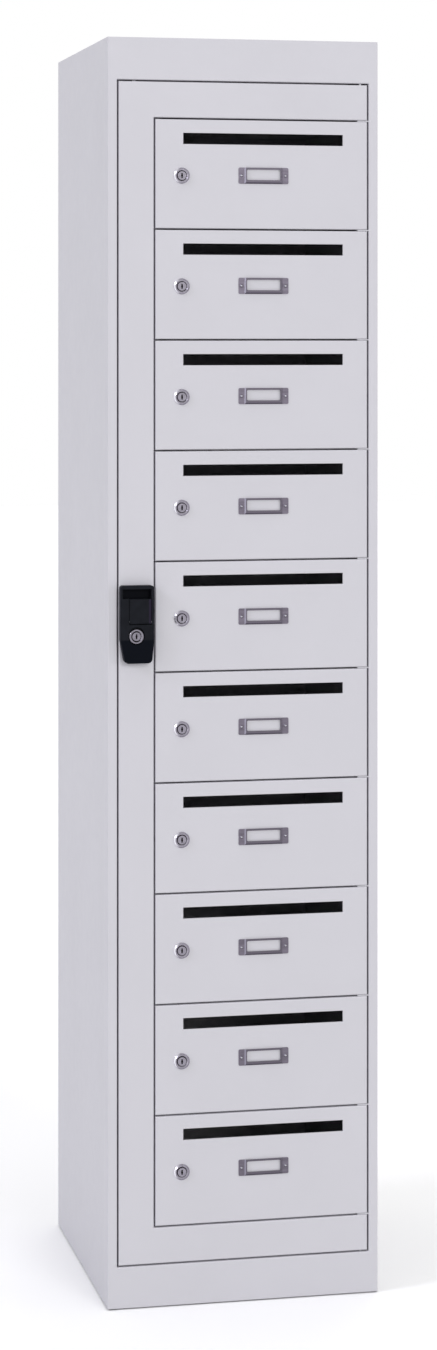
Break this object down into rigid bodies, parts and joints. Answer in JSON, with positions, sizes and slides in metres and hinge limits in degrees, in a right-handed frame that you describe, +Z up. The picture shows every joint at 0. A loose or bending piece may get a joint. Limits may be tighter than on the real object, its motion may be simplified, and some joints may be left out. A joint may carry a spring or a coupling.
{
  "type": "mail locker",
  "caption": "Tall steel mail locker: a lockable master door with a pull handle carries a column of small letter doors, each with a letter slot, a cam lock and a label holder.",
  "frame": {"origin": "on the floor, at the centre of the base of the overall box", "axes": "+X to the right seen from the front, +Y towards the back, +Z up; the doors face -Y"},
  "size_m": [0.395, 0.443, 1.8],
  "materials": {
    "painted_steel": "satin powder coat, light grey",
    "zinc_steel": "zinc plated",
    "lock_nickel": "nickel plated",
    "label_metal": "dark plated",
    "black_plastic": "fine moulded texture",
    "glide_plastic": "moulded"
  },
  "bodies": {
    "cabinet": {"left_side": "painted_steel", "right_side": "painted_steel", "back_panel": "painted_steel", "top_panel": "painted_steel", "base_panel": "painted_steel", "header_rail": "painted_steel", "plinth_rail": "painted_steel", "shelves": "painted_steel", "hinge_lugs": "painted_steel", "hinge_pins": "zinc_steel", "foot_glides": "glide_plastic"},
    "master": {"master_door": "painted_steel", "rod_guides": "black_plastic", "handle_body": "black_plastic", "handle_lock_barrel": "lock_nickel", "flap_pin": "zinc_steel"},
    "flap": {"pull_flap": "black_plastic"},
    "key": {"key_plug": "lock_nickel"},
    "upper_bolt": {"upper_rod": "zinc_steel"},
    "lower_bolt": {"lower_rod": "zinc_steel"},
    "mail_01": {"mail_door_01": "painted_steel", "lock_barrel_01": "lock_nickel", "label_holder_01": "label_metal"},
    "mail_02": {"mail_door_02": "painted_steel", "lock_barrel_02": "lock_nickel", "label_holder_02": "label_metal"},
    "mail_03": {"mail_door_03": "painted_steel", "lock_barrel_03": "lock_nickel", "label_holder_03": "label_metal"},
    "mail_04": {"mail_door_04": "painted_steel", "lock_barrel_04": "lock_nickel", "label_holder_04": "label_metal"},
    "mail_05": {"mail_door_05": "painted_steel", "lock_barrel_05": "lock_nickel", "label_holder_05": "label_metal"},
    "mail_06": {"mail_door_06": "painted_steel", "lock_barrel_06": "lock_nickel", "label_holder_06": "label_metal"},
    "mail_07": {"mail_door_07": "painted_steel", "lock_barrel_07": "lock_nickel", "label_holder_07": "label_metal"},
    "mail_08": {"mail_door_08": "painted_steel", "lock_barrel_08": "lock_nickel", "label_holder_08": "label_metal"},
    "mail_09": {"mail_door_09": "painted_steel", "lock_barrel_09": "lock_nickel", "label_holder_09": "label_metal"},
    "mail_10": {"mail_door_10": "painted_steel", "lock_barrel_10": "lock_nickel", "label_holder_10": "label_metal"},
    "cam_01": {"lock_cam_01": "lock_nickel"},
    "cam_02": {"lock_cam_02": "lock_nickel"},
    "cam_03": {"lock_cam_03": "lock_nickel"},
    "cam_04": {"lock_cam_04": "lock_nickel"},
    "cam_05": {"lock_cam_05": "lock_nickel"},
    "cam_06": {"lock_cam_06": "lock_nickel"},
    "cam_07": {"lock_cam_07": "lock_nickel"},
    "cam_08": {"lock_cam_08": "lock_nickel"},
    "cam_09": {"lock_cam_09": "lock_nickel"},
    "cam_10": {"lock_cam_10": "lock_nickel"}
  },
  "joints": [
    {"name": "master_hinge", "type": "hinge", "parent": "cabinet", "child": "master", "pos_m": [0.1726, -0.2015, 0.9], "axis": [0, 0, 1], "range_deg": [0, 110]},
    {"name": "handle_key", "type": "hinge", "parent": "master", "child": "key", "pos_m": [-0.1581, -0.2085, 0.9525], "axis": [0, -1, 0], "range_deg": [0, 90]},
    {"name": "upper_bolt_slide", "type": "slide", "parent": "master", "child": "upper_bolt", "axis": [0, 0, 1], "range_m": [0, 0.01]},
    {"name": "lower_bolt_slide", "type": "slide", "parent": "master", "child": "lower_bolt", "axis": [0, 0, -1], "range_m": [0, 0.01]},
    {"name": "pull_flap_hinge", "type": "hinge", "parent": "master", "child": "flap", "pos_m": [-0.1571, -0.218, 0.973], "axis": [1, 0, 0], "range_deg": [0, 30], "stiffness_Nm_per_rad": 0.02},
    {"name": "mail_hinge_01", "type": "hinge", "parent": "master", "child": "mail_01", "pos_m": [0.1726, -0.2015, 1.60731], "axis": [0, 0, -1], "range_deg": [-110, 0]},
    {"name": "mail_hinge_02", "type": "hinge", "parent": "master", "child": "mail_02", "pos_m": [0.1726, -0.2015, 1.45013], "axis": [0, 0, -1], "range_deg": [-110, 0]},
    {"name": "mail_hinge_03", "type": "hinge", "parent": "master", "child": "mail_03", "pos_m": [0.1726, -0.2015, 1.29295], "axis": [0, 0, -1], "range_deg": [-110, 0]},
    {"name": "mail_hinge_04", "type": "hinge", "parent": "master", "child": "mail_04", "pos_m": [0.1726, -0.2015, 1.13577], "axis": [0, 0, -1], "range_deg": [-110, 0]},
    {"name": "mail_hinge_05", "type": "hinge", "parent": "master", "child": "mail_05", "pos_m": [0.1726, -0.2015, 0.97859], "axis": [0, 0, -1], "range_deg": [-110, 0]},
    {"name": "mail_hinge_06", "type": "hinge", "parent": "master", "child": "mail_06", "pos_m": [0.1726, -0.2015, 0.82141], "axis": [0, 0, -1], "range_deg": [-110, 0]},
    {"name": "mail_hinge_07", "type": "hinge", "parent": "master", "child": "mail_07", "pos_m": [0.1726, -0.2015, 0.66423], "axis": [0, 0, -1], "range_deg": [-110, 0]},
    {"name": "mail_hinge_08", "type": "hinge", "parent": "master", "child": "mail_08", "pos_m": [0.1726, -0.2015, 0.50705], "axis": [0, 0, -1], "range_deg": [-110, 0]},
    {"name": "mail_hinge_09", "type": "hinge", "parent": "master", "child": "mail_09", "pos_m": [0.1726, -0.2015, 0.34987], "axis": [0, 0, -1], "range_deg": [-110, 0]},
    {"name": "mail_hinge_10", "type": "hinge", "parent": "master", "child": "mail_10", "pos_m": [0.1726, -0.2015, 0.19269], "axis": [0, 0, -1], "range_deg": [-110, 0]},
    {"name": "mail_lock_01", "type": "hinge", "parent": "mail_01", "child": "cam_01", "pos_m": [-0.0907, -0.2085, 1.6047], "axis": [0, 1, 0], "range_deg": [0, 90]},
    {"name": "mail_lock_02", "type": "hinge", "parent": "mail_02", "child": "cam_02", "pos_m": [-0.0907, -0.2085, 1.44752], "axis": [0, 1, 0], "range_deg": [0, 90]},
    {"name": "mail_lock_03", "type": "hinge", "parent": "mail_03", "child": "cam_03", "pos_m": [-0.0907, -0.2085, 1.29034], "axis": [0, 1, 0], "range_deg": [0, 90]},
    {"name": "mail_lock_04", "type": "hinge", "parent": "mail_04", "child": "cam_04", "pos_m": [-0.0907, -0.2085, 1.13316], "axis": [0, 1, 0], "range_deg": [0, 90]},
    {"name": "mail_lock_05", "type": "hinge", "parent": "mail_05", "child": "cam_05", "pos_m": [-0.0907, -0.2085, 0.97598], "axis": [0, 1, 0], "range_deg": [0, 90]},
    {"name": "mail_lock_06", "type": "hinge", "parent": "mail_06", "child": "cam_06", "pos_m": [-0.0907, -0.2085, 0.8188], "axis": [0, 1, 0], "range_deg": [0, 90]},
    {"name": "mail_lock_07", "type": "hinge", "parent": "mail_07", "child": "cam_07", "pos_m": [-0.0907, -0.2085, 0.66162], "axis": [0, 1, 0], "range_deg": [0, 90]},
    {"name": "mail_lock_08", "type": "hinge", "parent": "mail_08", "child": "cam_08", "pos_m": [-0.0907, -0.2085, 0.50444], "axis": [0, 1, 0], "range_deg": [0, 90]},
    {"name": "mail_lock_09", "type": "hinge", "parent": "mail_09", "child": "cam_09", "pos_m": [-0.0907, -0.2085, 0.34726], "axis": [0, 1, 0], "range_deg": [0, 90]},
    {"name": "mail_lock_10", "type": "hinge", "parent": "mail_10", "child": "cam_10", "pos_m": [-0.0907, -0.2085, 0.19008], "axis": [0, 1, 0], "range_deg": [0, 90]}
  ],
  "couplings": [
    {"joint": "handle_key", "follows": "upper_bolt_slide", "rad_per_m": 157.08},
    {"joint": "lower_bolt_slide", "follows": "upper_bolt_slide", "ratio": 1}
  ]
}
